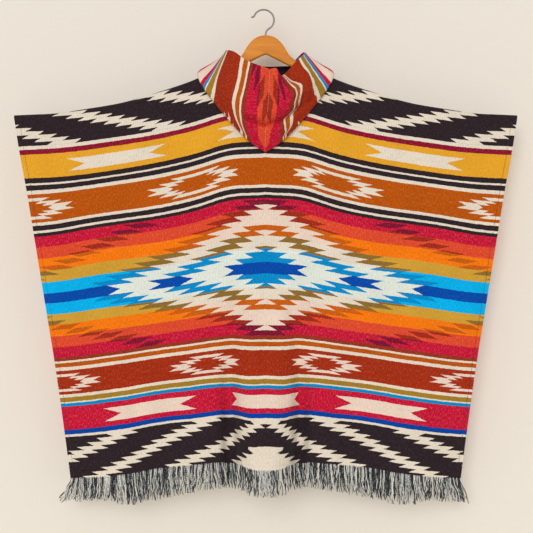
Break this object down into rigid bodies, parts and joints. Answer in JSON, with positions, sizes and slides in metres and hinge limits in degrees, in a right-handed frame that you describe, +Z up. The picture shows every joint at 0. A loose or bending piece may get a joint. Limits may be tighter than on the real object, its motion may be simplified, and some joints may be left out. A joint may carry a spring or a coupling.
{
  "type": "hooded fringed blanket poncho on a wooden coat hanger",
  "caption": "Hooded blanket poncho with a pointed hood and yarn fringe on both hems, hung flat on a wooden hanger with a steel wire hook.",
  "frame": {"origin": "inside top of the hanger's hook, where a rod carries it", "axes": "+Z up, +X to the right as seen from the garment's back with the hood, +Y from the garment's back to its front"},
  "size_m": [1.2102, 0.1645, 1.1914],
  "materials": {
    "blanket": "soft brushed blanket weave in bands of cream, black, maroon, orange, red, ochre and blue",
    "hood_cloth": "the same blanket cloth turned by a quarter, rust, red and blue stripes",
    "fringe_yarn": "loose twisted yarn ends in grey, cream and near black",
    "hanger_wood": "clear-varnished honey-coloured wood",
    "hook_wire": "plain grey steel wire"
  },
  "bodies": {
    "root": {"back_panel": "blanket", "front_panel": "blanket", "hood_left": "hood_cloth", "hood_right": "hood_cloth", "back_fringe": "fringe_yarn", "front_fringe": "fringe_yarn", "hanger_wood": "hanger_wood", "hanger_hook": "hook_wire"}
  },
  "joints": []
}
